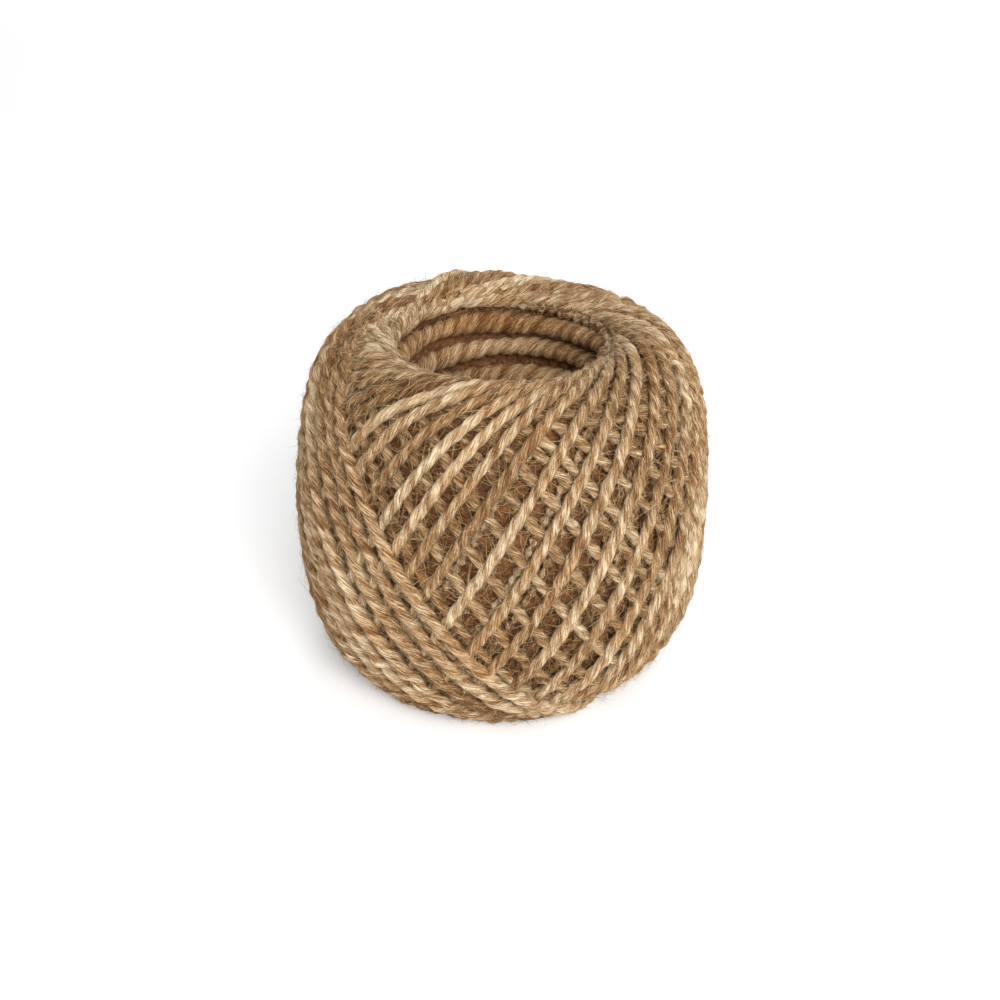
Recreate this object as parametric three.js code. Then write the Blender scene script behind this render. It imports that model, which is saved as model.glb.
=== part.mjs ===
// A ball of jute twine, wound round a spindle that was then drawn out, so a round hole runs right
// through it. It is one solid: the wound form with its broad twists, where bundles of turns cross.
//
// Every turn of twine is a tilted loop that leans on the rim of the hole at the top on one side
// and at the bottom on the other, so it runs down the ball as one strand and comes up again as
// another. Each new loop is laid a little further round, counter-clockwise seen from above, and
// on top of the last. So the down strands are the upper ones just before the last loop laid, and
// the up strands are the upper ones just after it, with a step at the last loop itself.
//
// Units are millimetres and +Z is up. The origin is at the middle of the underside.

import * as THREE from 'three';

// The wound form.
const OUTER_RADIUS = 35;
const UPPER_HEIGHT = 31; // from the widest level up to the crown
const LOWER_HEIGHT = 29.8;
const CROWN_RADIUS = 22.6; // of the ring where the ball is highest
const HOLE_RADIUS = 15.6;
const RIM_DEPTH = 5.2; // how far down the rounding of the hole's rim reaches
const SHOULDER_POWER = 2.34; // 2 is an ellipse, and more is squarer
const BASE_CUT = 0.8; // pressed flat, off the underside
const CORNER_DEGREES = 130; // where the main corner of its uneven upper half is, from +X
const CORNER_RELIEFS = [-0.25, 0.55, 0.45, 0.4]; // of waves that go round it 0, 1, 2 and 3 times

// The winding.
const TOP_TANGENT = 18.9; // radius where the last loops touch the top rim
const BASE_TANGENT = 22.0;
const LAST_LOOP_DEGREES = 148; // where the last loop touches the top rim, from +X
const BASE_LEAD_DEGREES = 13; // how much further than half way round a loop touches the bottom
const LAYER_PER_ROUND = 1.8; // what one round of loops adds to the ball
const STEP_DEGREES = 18; // round the ball, over which the last loop's step comes down
const BUNDLES = 12; // broad ridges in one round of loops
const BUNDLE_RELIEF = 1.4; // from a ridge's top to its foot
const WALL_RINGS = 4; // broad ridges up the wall of the hole
const WALL_RELIEF = 0.7;
const BASE_FADE = 5; // height over which the ridges flatten towards the base

// The grid of faces.
const COLUMNS = 90;
const UPPER_ROWS = 13;
const LOWER_ROWS = 11;
const RIM_ROWS = 4;
const WALL_ROWS = 13;

const TURN = 2 * Math.PI;
const QUARTER = Math.PI / 2;
const BASE_LEVEL = BASE_CUT - LOWER_HEIGHT; // of the flat base, from the widest level

/** A superellipse quarter from the widest level, at 0, to a crown that is `halfHeight` away. */
function outerPoint(angle, halfHeight) {
  const out = Math.cos(angle) ** (2 / SHOULDER_POWER);
  const up = Math.sin(angle) ** (2 / SHOULDER_POWER);
  return new THREE.Vector2(
    CROWN_RADIUS + (OUTER_RADIUS - CROWN_RADIUS) * out,
    halfHeight * up,
  );
}

/** A quarter ellipse from the crown, at 0, to the wall of the hole, at a right angle. */
function rimPoint(angle, halfHeight) {
  return new THREE.Vector2(
    CROWN_RADIUS - (CROWN_RADIUS - HOLE_RADIUS) * Math.sin(angle),
    halfHeight - RIM_DEPTH * (1 - Math.cos(angle)),
  );
}

/** The same point as far below the widest level. */
function mirrored(point) {
  return new THREE.Vector2(point.x, -point.y);
}

/** The value that is `step` of `count` even steps from one end to the other. */
function along(from, to, step, count) {
  return from + ((to - from) * step) / count;
}

/**
 * The closed outline of the ball's section, counter-clockwise from the outer edge of the flat
 * base: up the outside, over the rim, down the hole, round the lower rim and across the base.
 */
function sectionRows() {
  const outerBase = Math.asin((-BASE_LEVEL / LOWER_HEIGHT) ** (SHOULDER_POWER / 2));
  const rimBase = Math.acos(1 - BASE_CUT / RIM_DEPTH);
  const wallTop = UPPER_HEIGHT - RIM_DEPTH;
  const wallBase = RIM_DEPTH - LOWER_HEIGHT;
  const rows = [];
  for (let i = 0; i < LOWER_ROWS; i += 1) {
    rows.push(mirrored(outerPoint(along(outerBase, 0, i, LOWER_ROWS), LOWER_HEIGHT)));
  }
  for (let i = 0; i < UPPER_ROWS; i += 1) {
    rows.push(outerPoint(along(0, QUARTER, i, UPPER_ROWS), UPPER_HEIGHT));
  }
  for (let i = 0; i <= RIM_ROWS; i += 1) {
    rows.push(rimPoint(along(0, QUARTER, i, RIM_ROWS), UPPER_HEIGHT));
  }
  for (let i = 1; i <= WALL_ROWS; i += 1) {
    rows.push(new THREE.Vector2(HOLE_RADIUS, along(wallTop, wallBase, i, WALL_ROWS)));
  }
  for (let i = 1; i <= RIM_ROWS; i += 1) {
    rows.push(mirrored(rimPoint(along(QUARTER, rimBase, i, RIM_ROWS), LOWER_HEIGHT)));
  }
  return rows;
}

/** The direction out of the section at each row, square to the line between its neighbours. */
function sectionNormals(rows) {
  return rows.map((_, i) => {
    const before = rows.at(i - 1);
    const after = rows[(i + 1) % rows.length];
    return new THREE.Vector2(after.y - before.y, before.x - after.x).normalize();
  });
}

/** Height over radius of the point where a loop touches a rim. */
function rimSlope(tangentRadius, halfHeight) {
  const angle = Math.asin((CROWN_RADIUS - tangentRadius) / (CROWN_RADIUS - HOLE_RADIUS));
  return rimPoint(angle, halfHeight).y / tangentRadius;
}

/**
 * How far round a loop has swung, at this place on the section, from where it touches the top
 * rim. It lies close to a tilted plane, so the cosine of that angle goes as height over radius,
 * with a scale that goes evenly from the top rim's to the bottom rim's: a quadratic, solved here.
 */
function swing(point) {
  const topSlope = rimSlope(TOP_TANGENT, UPPER_HEIGHT);
  const baseSlope = rimSlope(BASE_TANGENT, LOWER_HEIGHT);
  const mean = (topSlope + baseSlope) / 2;
  const change = (topSlope - baseSlope) / 2;
  const root = Math.sqrt(mean * mean + (4 * change * point.y) / point.x);
  return Math.acos(THREE.MathUtils.clamp((root - mean) / (2 * change), -1, 1));
}

/**
 * One family of strands: its layers sink with age, from the last loop back to the oldest one
 * that shows, where the step comes up again, and its ridges are round with a sharp valley.
 */
function strandLevel(loopAngle) {
  const lastLoop = THREE.MathUtils.degToRad(LAST_LOOP_DEGREES);
  const age = THREE.MathUtils.euclideanModulo(lastLoop - loopAngle, TURN) / TURN;
  const step = THREE.MathUtils.smoothstep(age, 1 - STEP_DEGREES / 360, 1);
  const ridge = Math.abs(Math.cos((BUNDLES / 2) * (lastLoop - loopAngle))) - 1;
  return BUNDLE_RELIEF * ridge - LAYER_PER_ROUND * age * (1 - step);
}

/** How far the upper half stands out: waves round it that all crest at the main corner. */
function cornerLevel(point, azimuth) {
  const fromCorner = azimuth - THREE.MathUtils.degToRad(CORNER_DEGREES);
  const inUpperHalf = THREE.MathUtils.smoothstep(point.y, 0, UPPER_HEIGHT / 2);
  const waves = CORNER_RELIEFS.map((height, count) => height * Math.cos(count * fromCorner));
  return inUpperHalf * waves.reduce((sum, wave) => sum + wave, 0);
}

/** The relief at an azimuth on the section: the upper family of strands, or the wall's rings. */
function relief(point, azimuth) {
  const turned = swing(point);
  const lead = (THREE.MathUtils.degToRad(BASE_LEAD_DEGREES) * (1 - Math.cos(turned))) / 2;
  const down = strandLevel(azimuth - lead - turned);
  const up = strandLevel(azimuth - lead + turned);
  const ringPhase = (WALL_RINGS * TURN * point.y) / (UPPER_HEIGHT + LOWER_HEIGHT) - azimuth;
  const rings = (WALL_RELIEF * (Math.cos(ringPhase) - 1)) / 2;
  const outside = Math.max(down, up) + cornerLevel(point, azimuth);
  const onOutside = THREE.MathUtils.smoothstep(point.x, HOLE_RADIUS + 1, CROWN_RADIUS);
  const clearOfBase = THREE.MathUtils.smoothstep(point.y - BASE_LEVEL, 0, BASE_FADE);
  return clearOfBase * THREE.MathUtils.lerp(rings, outside, onOutside);
}

/** The section carried round the axis, pushed in or out by the relief, as one closed skin. */
function woundGeometry() {
  const rows = sectionRows();
  const normals = sectionNormals(rows);
  const positions = [];
  const faces = [];
  rows.forEach((point, row) => {
    for (let column = 0; column < COLUMNS; column += 1) {
      const azimuth = (TURN * column) / COLUMNS;
      const surface = point.clone().addScaledVector(normals[row], relief(point, azimuth));
      positions.push(
        surface.x * Math.cos(azimuth),
        surface.x * Math.sin(azimuth),
        surface.y - BASE_LEVEL,
      );
      const nextColumn = (column + 1) % COLUMNS;
      const nextRow = (row + 1) % rows.length;
      const corner = row * COLUMNS + column;
      const right = row * COLUMNS + nextColumn;
      const above = nextRow * COLUMNS + column;
      const across = nextRow * COLUMNS + nextColumn;
      faces.push(corner, right, across, corner, across, above);
    }
  });
  const geometry = new THREE.BufferGeometry();
  geometry.setAttribute('position', new THREE.Float32BufferAttribute(positions, 3));
  geometry.setIndex(faces);
  geometry.computeVertexNormals();
  return geometry;
}

const jute = new THREE.MeshStandardMaterial({ color: 0xb08d5b, roughness: 0.85, metalness: 0 });

const ball = new THREE.Group();
const woundBall = new THREE.Mesh(woundGeometry(), jute);
woundBall.name = 'wound_ball';
ball.add(woundBall);

export default ball;
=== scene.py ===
"""A ball of jute twine: one length of two-ply twine, cross-wound round a spindle since drawn out.

The winding is worked out as it is done. Each turn is a tilted loop that leans on the rim of the
hole at the top on one side and at the bottom on the other. The turns are laid one after another,
each a little further round, and each rests on whatever is already there.
"""

import math

import bpy
import numpy as np
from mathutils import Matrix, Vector


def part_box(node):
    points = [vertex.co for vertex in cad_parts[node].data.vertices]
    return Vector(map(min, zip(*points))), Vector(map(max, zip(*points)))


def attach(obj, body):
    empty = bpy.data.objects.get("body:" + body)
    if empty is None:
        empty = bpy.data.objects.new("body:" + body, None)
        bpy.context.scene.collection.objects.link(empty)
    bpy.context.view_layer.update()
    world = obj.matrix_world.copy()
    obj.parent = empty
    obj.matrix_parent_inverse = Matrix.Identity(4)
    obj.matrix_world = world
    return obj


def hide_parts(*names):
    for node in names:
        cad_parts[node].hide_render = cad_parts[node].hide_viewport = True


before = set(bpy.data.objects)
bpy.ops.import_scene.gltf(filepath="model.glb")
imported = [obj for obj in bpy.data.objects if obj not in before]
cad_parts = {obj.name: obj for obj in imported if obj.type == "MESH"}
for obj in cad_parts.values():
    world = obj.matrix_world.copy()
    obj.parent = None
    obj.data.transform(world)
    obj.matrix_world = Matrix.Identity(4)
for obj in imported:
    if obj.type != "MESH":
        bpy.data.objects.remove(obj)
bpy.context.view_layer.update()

MM = 0.001
TURN = 2 * math.pi
QUARTER = math.pi / 2

# The wound form, as in the solid: a section that is carried round the axis of the hole.
OUTER_RADIUS = 35 * MM
UPPER_HEIGHT = 31 * MM  # from the widest level up to the crown
LOWER_HEIGHT = 29.8 * MM
CROWN_RADIUS = 22.6 * MM  # of the ring where the ball is highest
HOLE_RADIUS = 15.6 * MM
RIM_DEPTH = 5.2 * MM  # how far down the rounding of the hole's rim reaches
SHOULDER_POWER = 2.34  # 2 is an ellipse, and more is squarer
BASE_CUT = 0.8 * MM  # pressed flat, off the underside
CORNER_AZIMUTH = math.radians(130)  # of the main corner of its uneven upper half
CORNER_RELIEFS = (-0.25 * MM, 0.55 * MM, 0.45 * MM, 0.4 * MM)  # of waves 0, 1, 2, 3 times round
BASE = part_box("wound_ball")[0].z  # height of the flat underside
MIDDLE = BASE + LOWER_HEIGHT - BASE_CUT  # height of the widest level

# The twine.
TWINE = 1.8 * MM  # thickness
PLIES = 2
PLY_PITCH = 3.4 * TWINE  # length in which the plies go once round
PLY_GROOVE = 0.22  # depth of the groove between plies, of the twine's half thickness
TWINE_FULLNESS = (1.08, 1.28)  # of the first turns and the last, which are pulled less tight
FULLNESS_SHARES = (0.80, 0.92)  # of the length, between which one goes over to the other
SQUASH = 0.56  # how much of its thickness a strand keeps where others cross it

# The winding.
TURNS = 62.5
TURNS_A_ROUND = 39.5  # laid while the place where they touch the rim goes once round
GAP_UNEVENNESS = 0.19  # of the mean gap between turns
GAP_SEED = 162533
LAST_TURN = math.radians(148)  # azimuth where the last whole turn touches the top rim
BASE_LEAD = math.radians(13)  # how much further than half way round the turns touch the bottom rim
TOP_TANGENTS = (16.0 * MM, 18.9 * MM)  # radius where the turns touch the top rim, first and last
BASE_TANGENTS = (17.2 * MM, 22.0 * MM)
TANGENT_WANDER = 0.3 * MM  # how far each of those radii strays
TANGENT_SEED = 7
RIM_LAP = 0.5 * MM  # how far a turn rises on its way to a rim and dips on its way from it
RIM_REACH = math.radians(30)  # of the swing, on each side of a rim
LEVEL_WANDER = 0.3 * MM  # how far a strand strays out or in
SIDE_WANDER = 0.25 * MM
WANDER_SWING = math.radians(70)  # between one stray place and the next
STEPS_A_TURN = 288
STACK_DELAY = 6  # turns that are laid before one carries others
DRAWING_PASSES = 200  # that draw a stretch straight between the points that carry it
SURFACE_PERCENTILE = 88  # of the laid heights, put level with the outline
SURFACE_BLUR = 12  # section steps each way
EVENING = 0.75  # how much of its broad unevenness the soft ball loses as it is wound
EVENED_HARMONICS = 7  # waves round the axis that count as broad
TUCK_TURNS = 0.12  # over which the two ends of the twine go in under the rest
TUCK_DEPTH = 1.6 * TWINE
LOWEST_STRAND = 0.48 * TWINE  # middle of a strand that lies on the underside
BASE_SOFTNESS = 0.35 * MM  # height over which strands are pressed up by what the ball stands on

# The wall of the hole, and what fills the ball.
WALL_TWINE = 3.9 * MM  # the first turns are slack, so they are thicker
WALL_PLY_PITCH = 5.4 * MM
WALL_TOP = 26 * MM  # above the widest level
WALL_FOOT = 3.6 * MM  # above the outline's lowest point
WALL_PITCH = 4.9 * MM
WALL_SET = 0.45  # how far its middle lies behind the hole's radius, of its thickness
WALL_WANDERS = (0.7 * MM, 0.1 * WALL_TWINE)  # up and down, in and out
WALL_WANDER_SWINGS = (1.3, 1.9)  # radians between one stray place and the next
WALL_STEPS_A_TURN = 120
WALL_TUCK = math.radians(50)  # over which each end goes in under the rest
CORE_DEPTH = 1.6 * TWINE  # under the outline
CORE_BEHIND = 0.75 * WALL_TWINE  # the hole's radius
CORE_FOOT = 0.6 * MM  # above the underside
CORE_ENDS = 6  # section steps that it leaves out at each end
CORE_STRIDE = 5  # section steps between its rows
CORE_WALL_ROWS = 24
CORE_COLUMNS = 120

# The meshes.
OUTLINE_POINTS = 400  # in a quarter of the outline
OUTLINE_WALL = 3 * MM  # of the hole's wall, that the outline takes in at each end
SECTION_STEP = 0.4 * MM  # of the grid of heights, along the section
COLUMNS = 512  # of the grid, round the axis
RING_STEPS = (1.8 * MM, 1.2 * MM, 0.75 * MM, 0.7 * MM)  # from the oldest length to the newest
WALL_RING_STEP = 0.7 * MM
SIDES_A_PLY = 5
FIBRE_LAY = 0.5  # how much less the fibres turn round the twine than its plies do
SWELL = 0.08  # how much thicker and thinner the twine gets, of its thickness
SWELL_LENGTHS = (25 * MM, 7 * MM)
PLY_SWELL = 0.08
PLY_SWELL_LENGTH = 5 * MM
TWIST_WANDER = 0.5  # radians
TWIST_LENGTH = 15 * MM
PATCHES = (0.5, 0.35)  # how far the jute's tone changes along the twine, long ones and short
PATCH_LENGTHS = (60 * MM, 14 * MM)
PLY_TONE = 0.45  # how far one ply's tone goes from the other's
PLY_TONE_LENGTH = 18 * MM

# The fibres. The spread of a length, a lift or a room is that of its natural logarithm.
HIDDEN_LENGTH = 0.2  # share of the turns that lie too deep for their fibres to show
FIBRE_PIECES = 3
FIBRES_A_PIECE = 15500
FIBRE_STEPS = 2
FIBRE_ROOT = 0.42 * TWINE  # from the middle of the strand
FIBRE_ROUND_SPREAD = 0.9  # radians round the strand, from its outer side
FIBRE_LENGTH = 2.4 * MM
FIBRE_LENGTH_SPREAD = 0.5
FIBRE_LONGEST = 4.5 * MM
FIBRE_LIFTS = (0.45, 1.6)  # how steeply most leave the twine, outside and three layers in
FIBRE_LIFT_SPREAD = 0.8
FIBRE_STRAY = 0.3  # any way, of its heading
FIBRE_CURL = 0.9
FIBRE_DROOP = 1.2  # how far a lifted one curls back to the ball
FIBRE_ROOM = 0.7 * MM  # how far most stand out of the ball
FIBRE_ROOM_SPREAD = 0.7
FIBRE_ROOM_MOST = 2.6 * MM
FIBRE_THICKNESS = 0.062 * MM  # of a coarse strand of jute
FIBRE_FOOT = 0.05 * MM  # the least above the underside
WALL_FIBRES = 2300
MATTED_FIBRES = 15000
MAT_ENDS = 12  # section steps at each end where none starts
MAT_DEPTHS = (0.9 * MM, 2.8 * MM)  # under the outline
MAT_LENGTH = 3.2 * MM
MAT_LENGTH_SPREAD = 0.4
MAT_TILT_SPREAD = 0.15  # out of the outline or into it, of its heading
MAT_THICKNESS = 0.09 * MM
LEAST_CLIMB = 0.05  # the climb for its reach that a fibre is taken to have at least

# The finish. Colours are given with their places on a scale from dark to pale.
STREAK_LENGTH = 3 * MM
STREAK_WIDTH = 0.17 * MM  # a bundle of fibres; single ones are too fine to show
STREAK_RELIEF = 0.25 * MM
TONE_SHADE = 0.105  # how far the tone, a groove and the depth move a place on the scale; the darkening in a groove and with depth is painted shade
# painted shade: the grooves between the plies are darkened in colour
GROOVE_PAINTED_SHADE = -0.09
# painted shade: strands that lie under others are darkened in colour
DEPTH_PAINTED_SHADE = -0.14
STAIN_SIZE = 7 * MM
STAIN_FULL = 0.75  # value of the noise where the stain is at its full strength
CLUMP_SIZE = 0.8 * MM
CLUMP_RELIEF = 0.5 * MM
JUTE_COLOURS = [(0.32, "#402410"), (0.43, "#7E5932"), (0.52, "#A68B69"), (0.61, "#D5C6A8")]
# tint of the retting stain; spread over the wall of the hole, it is partly painted warm shade
RUST_AND_SHADE_TINT = "#F0D8B8"
SHEEN_TINT = "#E6C58F"
FIBRE_COLOURS = [(0.0, "#7A5830"), (1.0, "#D6BD8E")]
# painted shade: the matted fibres in the gaps are the same jute, coloured browner for the shade
# there
MAT_SHADE_COLOURS = [(0.0, "#703F1A"), (1.0, "#CA9D62")]
# painted shade: the inner turns are the same jute, coloured dark brown for the shade in the gaps
CORE_SHADE_COLOURS = [(0.40, "#4C2A12"), (0.70, "#8E5E33")]

# The studio and the camera.
BRIGHT_WAY = (0.15, -0.91, 0.38)  # where most of the light comes from
WAY_STRENGTHS = (0.08, 1.03)  # of the light from the far side and from there
FLOOR_SIDE = 6.0  # metres
CAMERA_DOWN = 29.5  # degrees below level
CAMERA_AWAY = 6.5  # in outer radii
SENSOR_WIDTH = 36  # millimetres, as the lens
BALL_PIXELS = 199.7  # the outer radius, as far off as the ball's middle
BALL_CENTRE_PIXEL = (503.1, 491.5)
FRAME_PIXELS = 1000


def half_outline(half_height):
    """The outline from the wall of the hole, over a rim, to the widest level: radius and height.

    The rim is a quarter ellipse, and the outside is a superellipse.
    """
    quarter = np.linspace(0, QUARTER, OUTLINE_POINTS)
    wall = np.linspace(OUTLINE_WALL, 0, 30)[:-1]
    rim_r = CROWN_RADIUS - (CROWN_RADIUS - HOLE_RADIUS) * np.sin(quarter)
    rim_z = half_height - RIM_DEPTH * (1 - np.cos(quarter))
    out_r = CROWN_RADIUS + (OUTER_RADIUS - CROWN_RADIUS) * np.cos(quarter) ** (2 / SHOULDER_POWER)
    out_z = half_height * np.sin(quarter) ** (2 / SHOULDER_POWER)
    radius = np.concatenate([np.full(wall.size, HOLE_RADIUS), rim_r[::-1], out_r[::-1][1:]])
    height = np.concatenate([rim_z[-1] - wall, rim_z[::-1], out_z[::-1][1:]])
    return radius, height


def section():
    """The ball's outline from the upper wall of the hole, over the top, down to the lower wall.

    Returns, at even steps of length, the radius, the height above the widest level and the
    outward normal (radial, up).
    """
    upper_r, upper_z = half_outline(UPPER_HEIGHT)
    lower_r, lower_z = half_outline(LOWER_HEIGHT)
    radius = np.concatenate([upper_r, lower_r[::-1][1:]])
    height = np.concatenate([upper_z, -lower_z[::-1][1:]])
    length = np.concatenate([[0], np.cumsum(np.hypot(np.diff(radius), np.diff(height)))])
    even = np.linspace(0, length[-1], int(length[-1] / SECTION_STEP) + 1)
    radius = np.interp(even, length, radius)
    height = np.interp(even, length, height)
    normal_r, normal_z = -np.gradient(height), np.gradient(radius)
    size = np.hypot(normal_r, normal_z)
    return even, radius, height, normal_r / size, normal_z / size


SECTION, RADIUS, HEIGHT, NORMAL_R, NORMAL_Z = section()


def smooth_noise(position, wavelength, seed):
    """Random values from -1 to 1 at knots a wavelength apart, joined by cosine ramps."""
    draw = np.random.default_rng(seed)
    knots = draw.uniform(-1, 1, int(np.max(position) / wavelength) + 3)
    cell = position / wavelength
    index = np.floor(cell).astype(int)
    ramp = (1 - np.cos(math.pi * (cell - index))) / 2
    return knots[index] * (1 - ramp) + knots[index + 1] * ramp


def rim_slope(tangent, half_height):
    """Height over radius of the point where a turn touches a rim."""
    rim_angle = np.arcsin((CROWN_RADIUS - tangent) / (CROWN_RADIUS - HOLE_RADIUS))
    return (half_height - RIM_DEPTH * (1 - np.cos(rim_angle))) / tangent


def winding():
    """The whole wound length as one curve on the section: section length, azimuth and swing.

    A turn swings through an angle from where it touches the top rim. It lies close to a tilted
    plane, so the cosine of that angle goes as height over radius, with the scale that fits the
    top rim at the top and the bottom rim at the bottom. It leans a little further round on its
    way down, and each turn gains its gap from the last one as it goes.
    """
    count = round(TURNS * STEPS_A_TURN)
    turn = np.arange(count) / STEPS_A_TURN
    swing = TURN * turn
    whole = math.ceil(TURNS)
    gap = 1 + GAP_UNEVENNESS * np.random.default_rng(GAP_SEED).standard_normal(whole + 1)
    start = np.cumsum(gap) * TURN / TURNS_A_ROUND
    start -= start[-2]
    number = np.arange(whole + 1)
    drift = np.interp(turn, number, start) + BASE_LEAD * (1 - np.cos(swing)) / 2
    stray = np.random.default_rng(TANGENT_SEED).uniform(-1, 1, (2, number.size))
    wander = TANGENT_WANDER * stray
    top = np.interp(turn, number, np.linspace(*TOP_TANGENTS, number.size) + wander[0])
    base = np.interp(turn, number, np.linspace(*BASE_TANGENTS, number.size) + wander[1])
    down = np.cos(swing)
    top_slope = rim_slope(top, UPPER_HEIGHT)
    base_slope = rim_slope(base, LOWER_HEIGHT)
    slope = (1 + down) / 2 * top_slope + (1 - down) / 2 * base_slope
    ratio = HEIGHT / RADIUS
    first, last = np.argmax(ratio), np.argmin(ratio)
    place = np.interp(-down * slope, -ratio[first:last + 1], SECTION[first:last + 1])
    aside = SIDE_WANDER / OUTER_RADIUS * smooth_noise(swing, WANDER_SWING / 2, 14)
    return place, LAST_TURN + drift + aside + swing, swing


def lay(place, azimuth):
    """The height of each point of the twine over the surface that the first turns lie on.

    The laid turns are kept as a grid of heights. A new stretch rests on the grid with its round
    underside, a half circle squashed where strands cross, and is drawn straight between the
    points that carry it. It is added to the grid a few turns later, because next neighbours at
    the rim press into each other and don't stack.
    """
    reach = TWINE / 2
    step_azimuth = TURN / COLUMNS
    step_along = TURN * OUTER_RADIUS / STEPS_A_TURN
    sag = step_along ** 2 / (2 * OUTER_RADIUS)
    grid = np.zeros((SECTION.size, COLUMNS))
    rows_near, columns_near = np.arange(-3, 4), np.arange(-6, 7)  # all that a strand's width meets
    offset_row, offset_column = (
        a.ravel() for a in np.meshgrid(rows_near, columns_near, indexing="ij"))
    height = np.zeros(place.size)
    stretch = STEPS_A_TURN // 2
    waiting = []
    for start in range(0, place.size, stretch):
        part = slice(start, start + stretch)
        row = place[part] / SECTION_STEP
        column = azimuth[part] / step_azimuth
        near_row = np.clip(np.rint(row).astype(int)[:, None] + offset_row, 0, SECTION.size - 1)
        near_column = np.rint(column).astype(int)[:, None] + offset_column
        away_s = (near_row - row[:, None]) * SECTION_STEP
        away_a = (near_column - column[:, None]) * step_azimuth * RADIUS[near_row]
        near_column %= COLUMNS
        inside = reach ** 2 - away_s ** 2 - away_a ** 2
        cap = SQUASH * np.sqrt(np.maximum(inside, 0))
        rest = np.where(inside > 0, grid[near_row, near_column] + cap, 0).max(1)
        rest[0] = height[start - 1] if start else rest[0]
        drawn = rest.copy()
        for _ in range(DRAWING_PASSES):
            drawn[1:-1] = np.maximum(rest[1:-1], (drawn[:-2] + drawn[2:]) / 2 - sag)
        height[part] = drawn
        top = np.where(inside > 0, drawn[:, None] + cap, 0)
        waiting.append((near_row, near_column, top))
        if len(waiting) > 2 * STACK_DELAY:
            near_row, near_column, top = waiting.pop(0)
            np.maximum.at(grid, (near_row, near_column), top)
    for near_row, near_column, top in waiting:
        np.maximum.at(grid, (near_row, near_column), top)
    return height, grid


def laid_level(grid):
    """The height that most of the laid grid stays under, in each row, blurred along the section."""
    level = np.percentile(grid, SURFACE_PERCENTILE, axis=1)
    kernel = np.hanning(2 * SURFACE_BLUR + 1)
    padded = np.pad(level, SURFACE_BLUR, mode="edge")
    return np.convolve(padded, kernel / kernel.sum(), mode="valid")


def broad_level(grid):
    """The laid grid's broad unevenness round the axis: its first few harmonics but for the mean."""
    spectrum = np.fft.rfft(grid, axis=1)
    spectrum[:, 0] = 0
    spectrum[:, EVENED_HARMONICS + 1:] = 0
    return np.fft.irfft(spectrum, COLUMNS, axis=1)


def corner_level(height, azimuth):
    """How far the upper half stands out: cosine waves round the axis that crest at the main corner.

    A smoothstep of the height fades them out down to the widest level.
    """
    fade = np.clip(height / (UPPER_HEIGHT / 2), 0, 1)
    waves = sum(r * np.cos(n * (azimuth - CORNER_AZIMUTH)) for n, r in enumerate(CORNER_RELIEFS))
    return waves * fade ** 2 * (3 - 2 * fade)


def height_over(place, azimuth, swing):
    """The twine's height over the outline.

    It is the height as laid, less the level that most of it stays under and much of its broad
    unevenness, plus the waves of the upper half and a stray. Near a rim, neighbours cross at a
    small angle: each rises on its way to the rim and dips on its way from it, as the swing from
    the rim times a bell curve of that swing, so the newer lies over the older. The two ends are
    pushed in under the rest.
    """
    height, grid = lay(place, azimuth)
    row = np.rint(place / SECTION_STEP).astype(int)
    column = np.rint(azimuth * COLUMNS / TURN).astype(int) % COLUMNS
    over = height - np.interp(place, SECTION, laid_level(grid))
    over -= EVENING * broad_level(grid)[row, column]
    from_rim = ((swing + QUARTER) % math.pi - QUARTER) / RIM_REACH
    over -= RIM_LAP * from_rim * np.exp((1 - from_rim ** 2) / 2)
    over += corner_level(np.interp(place, SECTION, HEIGHT), azimuth)
    over += LEVEL_WANDER * smooth_noise(swing, WANDER_SWING, 15)
    index = np.arange(place.size)
    to_end = np.minimum(index, place.size - 1 - index) / (TUCK_TURNS * STEPS_A_TURN)
    over -= TUCK_DEPTH * np.clip(1 - to_end, 0, 1) ** 2
    return over


def on_section(place, azimuth, over):
    """Points over the outline: the section turned to an azimuth and pushed out along its normal.

    Returns rows of place, outward normal and depth, from 0 on the outside to 1 three layers in.
    The base presses what would go below it softly up, as the logarithm of one plus an exponential.
    """
    radius = np.interp(place, SECTION, RADIUS)
    height = np.interp(place, SECTION, HEIGHT)
    normal_r = np.interp(place, SECTION, NORMAL_R)
    normal_z = np.interp(place, SECTION, NORMAL_Z)
    radius = radius + over * normal_r
    lowest = BASE + LOWEST_STRAND
    above = height + over * normal_z + MIDDLE - lowest
    height = lowest + BASE_SOFTNESS * np.logaddexp(0, above / BASE_SOFTNESS)
    cos, sin = np.cos(azimuth), np.sin(azimuth)
    points = np.stack([radius * cos, radius * sin, height], -1)
    normals = np.stack([normal_r * cos, normal_r * sin, normal_z], -1)
    depth = np.clip((-over / TWINE - 0.5) / 3, 0, 1)
    return np.concatenate([points, normals, depth[:, None]], 1)


def unit(vectors):
    """The vectors at length one."""
    return vectors / np.linalg.norm(vectors, axis=-1, keepdims=True)


def even_path(path, step):
    """The path at even steps of length, and the length at each. A row is place, normal, depth."""
    run = np.concatenate([[0], np.cumsum(np.linalg.norm(np.diff(path[:, :3], axis=0), axis=1))])
    length = np.linspace(0, run[-1], int(run[-1] / step) + 1)
    return np.stack([np.interp(length, run, column) for column in path.T], -1), length


def tube_faces(rings, sides):
    """A tube's four-sided faces between its rings, and a fan of three-sided ones over each end.

    The rings' vertices come first, and then the middles of the first fan and the last.
    """
    i, j = np.meshgrid(np.arange(rings - 1), np.arange(sides), indexing="ij")
    after = (j + 1) % sides
    quads = np.stack([i * sides + j, i * sides + after,
                      (i + 1) * sides + after, (i + 1) * sides + j], -1).reshape(-1, 4)
    k = np.arange(sides)
    first = rings * sides
    last = first + 1
    head = np.stack([np.full(sides, first), (k + 1) % sides, k], -1)
    tail = np.stack([np.full(sides, last), first - sides + k, first - sides + (k + 1) % sides], -1)
    return quads, np.concatenate([head, tail])


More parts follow.
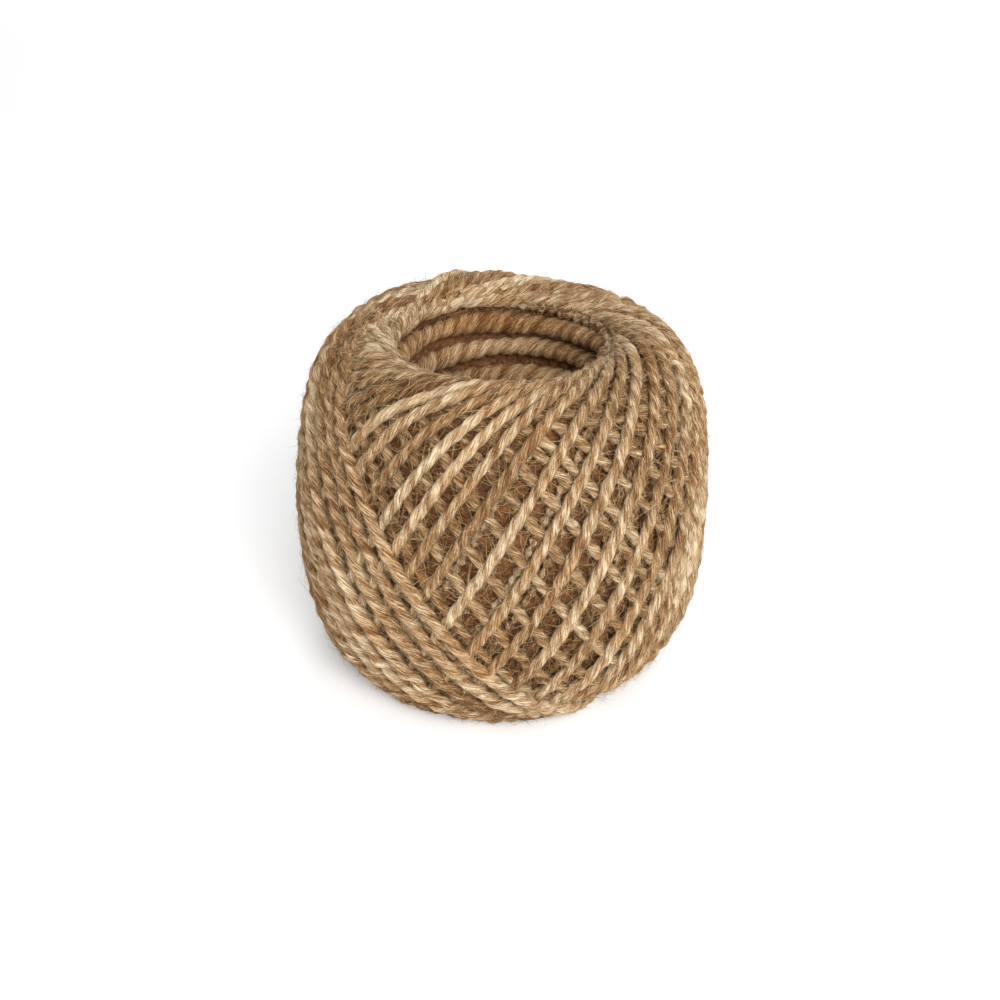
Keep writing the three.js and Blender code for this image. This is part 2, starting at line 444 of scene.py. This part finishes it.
def new_mesh(name, vertices, quads, triangles, material, attributes):
    """A mesh object from arrays of vertices, four-sided and three-sided faces, smooth shaded."""
    mesh = bpy.data.meshes.new(name)
    loops = np.concatenate([quads.ravel(), triangles.ravel()])
    sizes = np.concatenate([np.full(len(quads), 4), np.full(len(triangles), 3)])
    starts = np.concatenate([[0], np.cumsum(sizes)[:-1]])
    mesh.vertices.add(len(vertices))
    mesh.vertices.foreach_set("co", vertices.astype(np.float32).ravel())
    mesh.loops.add(loops.size)
    mesh.loops.foreach_set("vertex_index", loops.astype(np.int32))
    mesh.polygons.add(sizes.size)
    mesh.polygons.foreach_set("loop_start", starts.astype(np.int32))
    mesh.update(calc_edges=True)
    mesh.shade_smooth()
    for label, values in attributes.items():
        kind = "FLOAT_VECTOR" if values.ndim == 2 else "FLOAT"
        field = "vector" if values.ndim == 2 else "value"
        layer = mesh.attributes.new(label, kind, "POINT")
        layer.data.foreach_set(field, values.astype(np.float32).ravel())
    mesh.materials.append(material)
    piece = bpy.data.objects.new(name, mesh)
    bpy.context.collection.objects.link(piece)
    return piece


def plied_twine(name, path, length, thickness, ply_pitch, material):
    """Plied twine along a path: a section with one lobe to a ply, turned along its length.

    The section's half thickness is grooved as the size of a cosine of the angle round it, with
    a groove between plies. It turns left-handed, once in a ply pitch, and swells and thins slowly.
    The point attributes are the place among the fibres, for streaks, the tone of the jute, which
    changes along the twine and from ply to ply, the groove and the depth; the finish darkens the
    grooves and the deeper strands as painted shade.
    """
    points, normals, depth = path[:, :3], path[:, 3:6], path[:, 6:]
    sides = SIDES_A_PLY * PLIES
    angle = TURN * np.arange(sides) / sides
    tangent = unit(np.gradient(points, axis=0))
    side = unit(np.cross(tangent, normals))
    up = np.cross(side, tangent)
    groove = 1 - np.abs(np.cos(PLIES * angle / 2))
    swells = [smooth_noise(length, wave, 11 + n) for n, wave in enumerate(SWELL_LENGTHS)]
    swell = 1 + SWELL * sum(swells)
    ply = np.arange(sides) // SIDES_A_PLY
    uneven = [smooth_noise(length, PLY_SWELL_LENGTH, 30 + p) for p in range(PLIES)]
    uneven = np.stack(uneven, -1)[:, ply]
    half = thickness / 2 * (swell[:, None] + PLY_SWELL * uneven) * (1 - PLY_GROOVE * groove)
    twist = TURN * length / ply_pitch + TWIST_WANDER * smooth_noise(length, TWIST_LENGTH, 13)
    turned = angle - twist[:, None]
    across = half * np.sin(turned)
    out = half * np.cos(turned)
    skin = points[:, None] + out[..., None] * up[:, None] + across[..., None] * side[:, None]
    skin[..., 2] = np.maximum(skin[..., 2], BASE)
    vertices = np.concatenate([skin.reshape(-1, 3), points[:1], points[-1:]])
    along = np.broadcast_to(length[:, None], half.shape)
    grain = angle - FIBRE_LAY * twist[:, None]
    fibre = np.stack([along, half * np.cos(grain), half * np.sin(grain)], -1).reshape(-1, 3)
    long_patches = PATCHES[0] * smooth_noise(length, PATCH_LENGTHS[0], 43)
    short_patches = PATCHES[1] * smooth_noise(length, PATCH_LENGTHS[1], 22)
    tones = [smooth_noise(length, PLY_TONE_LENGTH, 40 + p) for p in range(PLIES)]
    tone = (long_patches + short_patches)[:, None] + PLY_TONE * np.stack(tones, -1)[:, ply]
    grooves = np.broadcast_to(groove, half.shape).ravel()
    depths = np.broadcast_to(depth, half.shape).ravel()
    attributes = {
        "fibre": np.concatenate([fibre, fibre[:1], fibre[-1:]]),
        "tone": np.concatenate([tone.ravel(), [0, 0]]),
        "groove": np.concatenate([grooves, [0.5, 0.5]]),
        "depth": np.concatenate([depths, depth[0], depth[-1]]),
    }
    quads, triangles = tube_faces(len(points), sides)
    return new_mesh(name, vertices, quads, triangles, material, attributes)


def wound_twine(wound, material):
    """The wound twine as lengths that run on from each other, the oldest first.

    The newer ones lie further out, so their rings are closer, and the last turns are fuller.
    """
    edges = np.linspace(0, len(wound) - 1, len(RING_STEPS) + 1).astype(int)
    whole_length = np.linalg.norm(np.diff(wound[:, :3], axis=0), axis=1).sum()
    lengths = []
    before = 0
    for number, step in enumerate(RING_STEPS):
        path, length = even_path(wound[edges[number]:edges[number + 1] + 1], step)
        length += before
        full = np.interp(length / whole_length, FULLNESS_SHARES, TWINE_FULLNESS)[:, None]
        name = f"twine_{number + 1}"
        lengths.append(plied_twine(name, path, length, full * TWINE, PLY_PITCH, material))
        before = length[-1]
    return lengths


def wall_coil():
    """The path down the wall of the hole: older turns, which lie round it as an uneven coil.

    It is a helix that strays up and down and in and out, and its two ends go in under the rest.
    """
    drop = WALL_TOP + LOWER_HEIGHT - WALL_FOOT
    turned = np.arange(-QUARTER, TURN * drop / WALL_PITCH, TURN / WALL_STEPS_A_TURN)
    run = turned + QUARTER
    up_down, in_out = (
        wander * smooth_noise(run, swing, 41 + n)
        for n, (wander, swing) in enumerate(zip(WALL_WANDERS, WALL_WANDER_SWINGS)))
    height = WALL_TOP - WALL_PITCH * turned / TURN + up_down
    radius = HOLE_RADIUS + WALL_TWINE * WALL_SET + in_out
    to_end = np.minimum(run, turned[-1] - turned) / WALL_TUCK
    radius += WALL_TWINE * np.clip(1 - to_end, 0, 1) ** 2
    cos, sin = np.cos(turned), np.sin(turned)
    points = np.stack([radius * cos, radius * sin, height + MIDDLE], -1)
    normals = np.stack([-cos, -sin, np.zeros_like(cos)], -1)
    return np.concatenate([points, normals, np.zeros((turned.size, 1))], 1)


def core(material):
    """What fills the ball under the turns that show: the outline, sunk by a thickness or two.

    The section, sunk along its normal, is closed by the wall of the hole behind its coil and is
    carried round the axis.
    """
    keep = slice(CORE_ENDS, SECTION.size - CORE_ENDS, CORE_STRIDE)
    behind = HOLE_RADIUS + CORE_BEHIND
    wall_z = np.linspace(HEIGHT[keep][-1], HEIGHT[keep][0], CORE_WALL_ROWS + 2)[1:-1]
    section_r = np.concatenate([RADIUS[keep], np.full(wall_z.size, behind)])
    section_z = np.concatenate([HEIGHT[keep], wall_z])
    out_r = np.concatenate([NORMAL_R[keep], np.zeros(wall_z.size)])
    out_z = np.concatenate([NORMAL_Z[keep], np.zeros(wall_z.size)])
    azimuth = TURN * np.arange(CORE_COLUMNS) / CORE_COLUMNS
    over = corner_level(section_z[:, None], azimuth) - CORE_DEPTH
    radius = np.maximum(section_r[:, None] + over * out_r[:, None], behind)
    height = section_z[:, None] + over * out_z[:, None] + MIDDLE
    height = np.maximum(height, BASE + CORE_FOOT)
    vertices = np.stack([radius * np.cos(azimuth), radius * np.sin(azimuth), height], -1)
    rows, columns = radius.shape
    i, j = np.meshgrid(np.arange(rows), np.arange(columns), indexing="ij")
    down, after = (i + 1) % rows, (j + 1) % columns
    quads = np.stack([i * columns + j, down * columns + j,
                      down * columns + after, i * columns + after], -1).reshape(-1, 4)
    none = np.zeros((0, 3), int)
    return new_mesh("core", vertices.reshape(-1, 3), quads, none, material, {})


def spikes(name, start, heading, curl, reach, normal, thickness, draw, material):
    """One mesh of thin three-sided spikes.

    Each runs along its start, plus its reach times t times its heading and half of t squared
    times its curl, as t goes from 0 to 1, and thins to a point.
    """
    count = len(start)
    t = np.linspace(0, 1, FIBRE_STEPS + 1)
    line = start[:, None] + reach[:, None, None] * (
        t[:, None] * heading[:, None] + 0.5 * t[:, None] ** 2 * curl[:, None])
    ahead = unit(np.gradient(line, axis=1))[:, :-1]
    nudged = normal[:, None] + 0.01  # so that a fibre that stands straight out has a side too
    first = unit(np.cross(ahead, nudged))
    second = np.cross(ahead, first)
    corner = TURN * np.arange(3) / 3
    half = thickness / 2 * (1 - 0.5 * t[:-1])[:, None]
    ring = (np.cos(corner) * half)[..., None] * first[:, :, None]
    ring = ring + (np.sin(corner) * half)[..., None] * second[:, :, None]
    skin = (line[:, :-1, None] + ring).reshape(count, -1, 3)
    skin = np.concatenate([skin, line[:, -1:]], 1)
    skin[..., 2] = np.maximum(skin[..., 2], BASE + FIBRE_FOOT)
    each = skin.shape[1]
    i, j = np.meshgrid(np.arange(FIBRE_STEPS - 1), np.arange(3), indexing="ij")
    quad = np.stack([i * 3 + j, i * 3 + (j + 1) % 3,
                     (i + 1) * 3 + (j + 1) % 3, (i + 1) * 3 + j], -1).reshape(-1, 4)
    k = each - 4
    tip = each - 1
    ends = np.array([[0, 2, 1], [k, k + 1, tip], [k + 1, k + 2, tip], [k + 2, k, tip]])
    offset = (each * np.arange(count))[:, None, None]
    quads = (quad[None] + offset).reshape(-1, 4)
    triangles = (ends[None] + offset).reshape(-1, 3)
    tone = np.repeat(draw.uniform(0, 1, count), each)
    return new_mesh(name, skin.reshape(-1, 3), quads, triangles, material, {"tone": tone})


def loose_fibres(name, path, count, seed, material):
    """Fibres loose from the twine's skin.

    A fibre leaves the skin at a random place, mostly along the twine and a little out, and curls.
    Its length is log-normal up to a limit, and shorter where it would stand too far out.
    """
    draw = np.random.default_rng(seed)
    points, normals = path[:, :3], path[:, 3:6]
    stretch = np.linalg.norm(np.gradient(points, axis=0), axis=1)
    share = stretch * np.hypot(points[:, 0], points[:, 1]) ** 2  # more where the ball is wide
    root = draw.choice(len(points), count, p=share / share.sum())
    tangent = unit(np.gradient(points, axis=0))[root]
    normal = normals[root]
    side = unit(np.cross(tangent, normal))
    depth = path[root, 6:]
    angle = draw.normal(0, FIBRE_ROUND_SPREAD, count)
    out = normal * np.cos(angle)[:, None] + side * np.sin(angle)[:, None]
    start = points[root] + FIBRE_ROOT * out
    way = draw.choice([-1, 1], count)[:, None] * tangent
    lift = np.interp(depth, (0, 1), FIBRE_LIFTS)
    lift *= np.exp(FIBRE_LIFT_SPREAD * draw.standard_normal((count, 1)))
    heading = unit(way + lift * out + FIBRE_STRAY * draw.standard_normal((count, 3)))
    curl = FIBRE_CURL * draw.standard_normal((count, 3))
    curl -= FIBRE_DROOP * np.minimum(lift, 1) * normal
    reach = FIBRE_LENGTH * np.exp(FIBRE_LENGTH_SPREAD * draw.standard_normal(count))
    reach = np.minimum(reach, FIBRE_LONGEST)
    climb = ((heading + 0.5 * curl) * normal).sum(1)
    room = FIBRE_ROOM * np.exp(FIBRE_ROOM_SPREAD * draw.standard_normal(count))
    room = np.minimum(room, FIBRE_ROOM_MOST)
    room += 3 * TWINE * depth[:, 0]
    reach = np.minimum(reach, room / np.maximum(climb, LEAST_CLIMB))
    return spikes(name, start, heading, curl, reach, normal, FIBRE_THICKNESS, draw, material)


def matted_fibres(name, count, seed, material):
    """Fibres matted between the turns: thin spikes that lie about the outline, sunk under it.

    Each starts at a random azimuth and place on the outline, a little under the outer turns, and
    runs any way along it with a curl that keeps it from standing out of the ball.
    """
    draw = np.random.default_rng(seed)
    keep = slice(MAT_ENDS, SECTION.size - MAT_ENDS)
    share = RADIUS[keep] ** 2 / (RADIUS[keep] ** 2).sum()
    place = draw.choice(SECTION[keep], count, p=share)
    azimuth = draw.uniform(0, TURN, count)
    sunk = draw.uniform(*MAT_DEPTHS, count)
    over = corner_level(np.interp(place, SECTION, HEIGHT), azimuth) - sunk
    path = on_section(place, azimuth, over)
    root, normal = path[:, :3], path[:, 3:6]
    round_axis = np.stack([-np.sin(azimuth), np.cos(azimuth), np.zeros(count)], -1)
    down = np.cross(round_axis, normal)
    angle = draw.uniform(0, TURN, (count, 1))
    heading = np.cos(angle) * round_axis + np.sin(angle) * down
    heading += MAT_TILT_SPREAD * draw.standard_normal((count, 1)) * normal
    curl = FIBRE_CURL * draw.standard_normal((count, 3))
    reach = MAT_LENGTH * np.exp(MAT_LENGTH_SPREAD * draw.standard_normal(count))
    reach = np.minimum(reach, FIBRE_LONGEST)
    climb = ((heading + 0.5 * curl) * normal).sum(1)
    reach = np.minimum(reach, (sunk + FIBRE_ROOM) / np.maximum(climb, LEAST_CLIMB))
    return spikes(name, root, heading, curl, reach, normal, MAT_THICKNESS, draw, material)


def linear(hex_colour):
    """A colour written as sRGB hex, as the linear numbers that shaders take."""
    parts = [int(hex_colour[i:i + 2], 16) / 255 for i in (1, 3, 5)]
    return [c / 12.92 if c <= 0.04045 else ((c + 0.055) / 1.055) ** 2.4 for c in parts] + [1]


def add(tree, kind, settings=None, inputs=None, stops=()):
    """Adds a node to a material's tree, with its settings, and values or links for its inputs.

    A colour ramp also takes its stops, as places and hex colours.
    """
    node = tree.nodes.new(kind)
    for key, value in (settings or {}).items():
        setattr(node, key, value)
    for key, value in (inputs or {}).items():
        if isinstance(value, bpy.types.NodeSocket):
            tree.links.new(value, node.inputs[key])
        else:
            node.inputs[key].default_value = value
    for number, (position, colour) in enumerate(stops):
        elements = node.color_ramp.elements
        element = elements[number] if number < len(elements) else elements.new(position)
        element.position = position
        element.color = linear(colour)
    return node


def base_material(name):
    """A new material, its tree and its main shader."""
    material = bpy.data.materials.new(name)
    material.use_nodes = True
    tree = material.node_tree
    return material, tree, tree.nodes["Principled BSDF"]


def jute_material(name, stain_and_warm_shade_from):
    """Spun jute: long coarse bast fibres, twisted, undyed.

    It shows fine streaks along the strand, straw on the plies and brown in the grooves, and
    patches where the stalk's colour changes. The brown in the grooves is painted shade, and so is
    the darkening of strands that lie deeper under others. It is dull, with a faint silk. A stain
    of retting shows where a noise is past the given value; where that value is low, as on the
    wall of the hole, the stain covers nearly all and is partly painted warm shade.
    """
    material, tree, shader = base_material(name)
    fibre = add(tree, "ShaderNodeAttribute", {"attribute_name": "fibre"}).outputs["Vector"]
    tone = add(tree, "ShaderNodeAttribute", {"attribute_name": "tone"}).outputs["Fac"]
    groove = add(tree, "ShaderNodeAttribute", {"attribute_name": "groove"}).outputs["Fac"]
    depth = add(tree, "ShaderNodeAttribute", {"attribute_name": "depth"}).outputs["Fac"]
    along, across = 1 / STREAK_LENGTH, 1 / STREAK_WIDTH
    streak_size = add(tree, "ShaderNodeMapping", {"vector_type": "POINT"}, {
        "Vector": fibre, "Scale": (along, across, across)}).outputs["Vector"]
    streaks = add(tree, "ShaderNodeTexNoise", {"noise_dimensions": "3D"}, {
        "Vector": streak_size, "Scale": 1.0, "Detail": 4.0, "Roughness": 0.75}).outputs["Fac"]
    shade = add(tree, "ShaderNodeMath", {"operation": "MULTIPLY_ADD"}, {
        0: tone, 1: TONE_SHADE, 2: streaks}).outputs["Value"]
    # painted shade: darker in the grooves between the plies
    groove_shaded = add(tree, "ShaderNodeMath", {"operation": "MULTIPLY_ADD"}, {
        0: groove, 1: GROOVE_PAINTED_SHADE, 2: shade}).outputs["Value"]
    # painted shade: darker where a strand lies deeper under others
    depth_shaded = add(tree, "ShaderNodeMath", {"operation": "MULTIPLY_ADD"}, {
        0: depth, 1: DEPTH_PAINTED_SHADE, 2: groove_shaded}).outputs["Value"]
    colour = add(tree, "ShaderNodeValToRGB", {}, {"Fac": depth_shaded}, JUTE_COLOURS).outputs["Color"]
    bump = add(tree, "ShaderNodeBump", {}, {
        "Height": streaks, "Distance": STREAK_RELIEF, "Strength": 1.0}).outputs["Normal"]
    place = add(tree, "ShaderNodeTexCoord").outputs["Object"]
    blotches = add(tree, "ShaderNodeTexNoise", {"noise_dimensions": "4D"}, {
        "Vector": place, "W": 2.0, "Scale": 1 / STAIN_SIZE, "Detail": 3.0})
    # where the stain starts is given; started low, as on the wall of the hole, it is partly painted
    # warm shade
    rust_and_warm_shade = add(tree, "ShaderNodeMapRange", {}, {
        "Value": blotches.outputs["Fac"],
        "From Min": stain_and_warm_shade_from, "From Max": STAIN_FULL}).outputs["Result"]
    rust_and_shade_tinted = add(tree, "ShaderNodeMixRGB", {"blend_type": "MULTIPLY"}, {
        "Fac": rust_and_warm_shade, "Color1": colour, "Color2": linear(RUST_AND_SHADE_TINT)}).outputs["Color"]
    tree.links.new(rust_and_shade_tinted, shader.inputs["Base Color"])
    tree.links.new(bump, shader.inputs["Normal"])
    shader.inputs["Roughness"].default_value = 0.75
    shader.inputs["Specular IOR Level"].default_value = 0.2
    shader.inputs["Sheen Weight"].default_value = 0.15
    shader.inputs["Sheen Roughness"].default_value = 0.5
    shader.inputs["Sheen Tint"].default_value = linear(SHEEN_TINT)
    return material


def fibre_material(name, colours):
    """Single jute fibres of one tone each: pale loose ones, and matted ones browned as painted
    shade.

    Loose from the twist, they are smoother than the spun strand and catch a little more light.
    """
    material, tree, shader = base_material(name)
    tone = add(tree, "ShaderNodeAttribute", {"attribute_name": "tone"}).outputs["Fac"]
    colour = add(tree, "ShaderNodeValToRGB", {}, {"Fac": tone}, colours).outputs["Color"]
    tree.links.new(colour, shader.inputs["Base Color"])
    shader.inputs["Roughness"].default_value = 0.5
    shader.inputs["Specular IOR Level"].default_value = 0.25
    return material


def core_material():
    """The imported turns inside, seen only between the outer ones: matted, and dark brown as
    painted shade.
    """
    material, tree, shader = base_material("packed_inner_jute_painted_shade")
    place = add(tree, "ShaderNodeTexCoord").outputs["Object"]
    clumps = add(tree, "ShaderNodeTexNoise", {}, {
        "Vector": place, "Scale": 1 / CLUMP_SIZE, "Detail": 4.0, "Roughness": 0.7}).outputs["Fac"]
    colour = add(tree, "ShaderNodeValToRGB", {}, {"Fac": clumps}, CORE_SHADE_COLOURS).outputs["Color"]
    tree.links.new(colour, shader.inputs["Base Color"])
    bump = add(tree, "ShaderNodeBump", {}, {"Height": clumps, "Distance": CLUMP_RELIEF})
    tree.links.new(bump.outputs["Normal"], shader.inputs["Normal"])
    shader.inputs["Roughness"].default_value = 0.9
    return material


def plain_material(name, colour, roughness):
    """One plain finish, for what is not part of the ball."""
    material, tree, shader = base_material(name)
    shader.inputs["Base Color"].default_value = linear(colour)
    shader.inputs["Roughness"].default_value = roughness
    return material


def stage_floor():
    """A wide, flat, pale floor under the ball."""
    half = FLOOR_SIDE / 2
    vertices = np.array([[-half, -half, 0], [half, -half, 0], [half, half, 0], [-half, half, 0]])
    quads = np.array([[0, 1, 2, 3]])
    floor = new_mesh("floor", vertices, quads, np.zeros((0, 3), int),
                     plain_material("matte_white_floor", "#F2F2F2", 0.9), {})


def studio():
    """White light from all round, stronger from in front than from behind."""
    world = bpy.data.worlds.new("studio")
    bpy.context.scene.world = world
    world.use_nodes = True
    tree = world.node_tree
    # The strength goes evenly with the cosine of the angle from the bright way.
    way = add(tree, "ShaderNodeTexCoord").outputs["Generated"]
    in_front = add(tree, "ShaderNodeVectorMath", {"operation": "DOT_PRODUCT"}, {
        0: way, 1: BRIGHT_WAY}).outputs["Value"]
    strength = add(tree, "ShaderNodeMapRange", {}, {
        "Value": in_front, "From Min": -1.0, "From Max": 1.0,
        "To Min": WAY_STRENGTHS[0], "To Max": WAY_STRENGTHS[1]})
    background = tree.nodes["Background"]
    background.inputs["Color"].default_value = linear("#FFFFFF")
    tree.links.new(strength.outputs["Result"], background.inputs["Strength"])


def lamp(name, place, size, power):
    """A soft square white light that faces the ball, unseen by the camera."""
    light = bpy.data.lights.new(name, "AREA")
    light.size = size
    light.energy = power
    holder = bpy.data.objects.new(name, light)
    holder.location = place
    way = Vector((0, 0, MIDDLE)) - Vector(place)
    holder.rotation_euler = way.to_track_quat("-Z", "Y").to_euler()
    holder.visible_camera = False
    bpy.context.collection.objects.link(holder)


def camera():
    """The camera: how far down it looks, how far off it stands, and its lens."""
    angle = math.radians(CAMERA_DOWN)
    away = CAMERA_AWAY * OUTER_RADIUS
    middle = Vector((0, 0, MIDDLE))
    place = middle + away * Vector((0, -math.cos(angle), math.sin(angle)))
    data = bpy.data.cameras.new("camera")
    data.sensor_width = SENSOR_WIDTH
    data.lens = SENSOR_WIDTH * BALL_PIXELS * CAMERA_AWAY / FRAME_PIXELS
    data.shift_x = (FRAME_PIXELS / 2 - BALL_CENTRE_PIXEL[0]) / FRAME_PIXELS
    data.shift_y = (BALL_CENTRE_PIXEL[1] - FRAME_PIXELS / 2) / FRAME_PIXELS
    data.clip_start = 0.01
    holder = bpy.data.objects.new("camera", data)
    holder.location = place
    holder.rotation_euler = (middle - place).to_track_quat("-Z", "Y").to_euler()
    bpy.context.collection.objects.link(holder)
    bpy.context.scene.camera = holder


camera()
stage_floor()

place, azimuth, swing = winding()
over = height_over(place, azimuth, swing)
wound = on_section(place, azimuth, over)

jute = jute_material("spun_undyed_jute", 0.50)
# the wall of the hole: the same jute with its stain starting low, so that it covers nearly all;
# partly retting stain, partly painted warm shade
wall_jute_warm_shade = jute_material("slack_inner_jute_painted_warm_shade", 0.05)
hair = fibre_material("loose_jute_fibre", FIBRE_COLOURS)
# painted shade: the matted fibres take the browner colours
matted = fibre_material("matted_jute_fibre_painted_shade", MAT_SHADE_COLOURS)
pieces = [core(core_material())]
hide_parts("wound_ball")

pieces.extend(wound_twine(wound, jute))
wall_path, wall_length = even_path(wall_coil(), WALL_RING_STEP)
pieces.append(plied_twine(
    "wall_twine", wall_path, wall_length, WALL_TWINE, WALL_PLY_PITCH, wall_jute_warm_shade))

recent = wound[int(HIDDEN_LENGTH * len(wound)):]
for number in range(1, FIBRE_PIECES + 1):
    pieces.append(loose_fibres(f"fibres_{number}", recent, FIBRES_A_PIECE, 50 + number, hair))
pieces.append(loose_fibres("wall_fibres", wall_path, WALL_FIBRES, 60, hair))
pieces.append(matted_fibres("matted_fibres", MATTED_FIBRES, 70, matted))

for piece in pieces:
    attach(piece, "root")

studio()
lamp("key_light", (0.17, -0.56, 0.40), size=0.45, power=6.4)
lamp("back_light", (0.35, 1.50, 0.55), size=0.80, power=14.0)
bpy.context.scene.view_settings.view_transform = "Standard"
